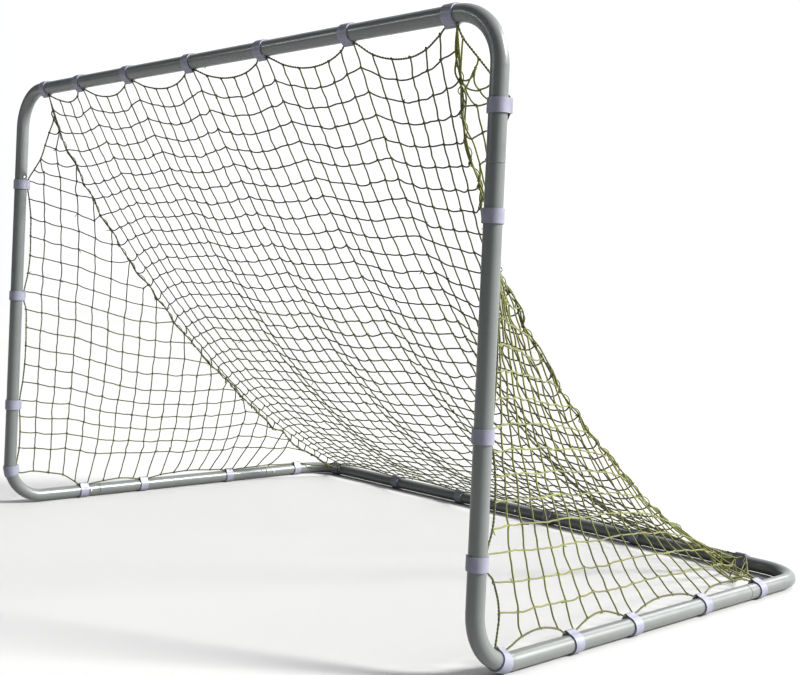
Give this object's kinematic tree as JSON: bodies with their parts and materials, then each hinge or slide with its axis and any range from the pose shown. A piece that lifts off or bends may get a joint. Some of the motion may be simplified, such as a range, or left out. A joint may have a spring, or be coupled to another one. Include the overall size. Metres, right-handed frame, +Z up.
{
  "type": "backyard goal",
  "caption": "Portable backyard ball goal: snap-together steel tube frame with latch buttons, and a knotted net held on by push-on plastic clips.",
  "frame": {"origin": "on the floor, in the middle of the frame's plan", "axes": "+X along the crossbar, +Y from the mouth to the back, +Z up"},
  "size_m": [1.836, 1.2763, 1.226],
  "materials": {
    "coated_tube": "satin",
    "snap_button": "satin",
    "spring_strip": "satin",
    "clip_plastic": "matte",
    "edge_cord": "matte",
    "net_twine": "matte"
  },
  "bodies": {
    "frame": {"back_net": "net_twine", "crossbar_clip_1": "clip_plastic", "crossbar_clip_2": "clip_plastic", "crossbar_clip_3": "clip_plastic", "crossbar_clip_4": "clip_plastic", "crossbar_clip_5": "clip_plastic", "crossbar_clip_6": "clip_plastic", "crossbar_clip_7": "clip_plastic", "crossbar_leaf_spring": "spring_strip", "left_front_leaf_spring": "spring_strip", "left_post": "coated_tube", "left_post_clip_1": "clip_plastic", "left_post_clip_2": "clip_plastic", "left_post_clip_3": "clip_plastic", "left_post_clip_4": "clip_plastic", "left_post_leaf_spring": "spring_strip", "left_rear_leaf_spring": "spring_strip", "left_seam_lacing": "net_twine", "left_side_bar": "coated_tube", "left_side_clip_1": "clip_plastic", "left_side_clip_2": "clip_plastic", "left_side_clip_3": "clip_plastic", "left_side_clip_4": "clip_plastic", "left_side_net": "net_twine", "net_edge_cord": "edge_cord", "rear_bar_leaf_spring": "spring_strip", "rear_clip_1": "clip_plastic", "rear_clip_2": "clip_plastic", "rear_clip_3": "clip_plastic", "rear_clip_4": "clip_plastic", "rear_clip_5": "clip_plastic", "rear_clip_6": "clip_plastic", "rear_left_tube": "coated_tube", "rear_right_tube": "coated_tube", "right_front_leaf_spring": "spring_strip", "right_post": "coated_tube", "right_post_clip_1": "clip_plastic", "right_post_clip_2": "clip_plastic", "right_post_clip_3": "clip_plastic", "right_post_clip_4": "clip_plastic", "right_post_leaf_spring": "spring_strip", "right_rear_leaf_spring": "spring_strip", "right_seam_lacing": "net_twine", "right_side_bar": "coated_tube", "right_side_clip_1": "clip_plastic", "right_side_clip_2": "clip_plastic", "right_side_clip_3": "clip_plastic", "right_side_clip_4": "clip_plastic", "right_side_clip_5": "clip_plastic", "right_side_net": "net_twine", "top_left_tube": "coated_tube", "top_right_tube": "coated_tube"},
    "crossbar_button": {"crossbar_button": "snap_button"},
    "rear_bar_button": {"rear_bar_button": "snap_button"},
    "left_post_button": {"left_post_button": "snap_button"},
    "left_front_button": {"left_front_button": "snap_button"},
    "left_rear_button": {"left_rear_button": "snap_button"},
    "right_post_button": {"right_post_button": "snap_button"},
    "right_front_button": {"right_front_button": "snap_button"},
    "right_rear_button": {"right_rear_button": "snap_button"}
  },
  "joints": [
    {"name": "crossbar_button_press", "type": "slide", "parent": "frame", "child": "crossbar_button", "axis": [0, 0, 1], "range_m": [0, 0.0048], "stiffness_N_per_m": 2000, "springref_m": -0.001, "deforming": ["crossbar_leaf_spring"]},
    {"name": "rear_bar_button_press", "type": "slide", "parent": "frame", "child": "rear_bar_button", "axis": [0, 1, 0], "range_m": [0, 0.0048], "stiffness_N_per_m": 2000, "springref_m": -0.001, "deforming": ["rear_bar_leaf_spring"]},
    {"name": "left_post_button_press", "type": "slide", "parent": "frame", "child": "left_post_button", "axis": [-1, 0, 0], "range_m": [0, 0.0048], "stiffness_N_per_m": 2000, "springref_m": -0.001, "deforming": ["left_post_leaf_spring"]},
    {"name": "left_front_button_press", "type": "slide", "parent": "frame", "child": "left_front_button", "axis": [-1, 0, 0], "range_m": [0, 0.0048], "stiffness_N_per_m": 2000, "springref_m": -0.001, "deforming": ["left_front_leaf_spring"]},
    {"name": "left_rear_button_press", "type": "slide", "parent": "frame", "child": "left_rear_button", "axis": [-1, 0, 0], "range_m": [0, 0.0048], "stiffness_N_per_m": 2000, "springref_m": -0.001, "deforming": ["left_rear_leaf_spring"]},
    {"name": "right_post_button_press", "type": "slide", "parent": "frame", "child": "right_post_button", "axis": [1, 0, 0], "range_m": [0, 0.0048], "stiffness_N_per_m": 2000, "springref_m": -0.001, "deforming": ["right_post_leaf_spring"]},
    {"name": "right_front_button_press", "type": "slide", "parent": "frame", "child": "right_front_button", "axis": [1, 0, 0], "range_m": [0, 0.0048], "stiffness_N_per_m": 2000, "springref_m": -0.001, "deforming": ["right_front_leaf_spring"]},
    {"name": "right_rear_button_press", "type": "slide", "parent": "frame", "child": "right_rear_button", "axis": [1, 0, 0], "range_m": [0, 0.0048], "stiffness_N_per_m": 2000, "springref_m": -0.001, "deforming": ["right_rear_leaf_spring"]}
  ]
}
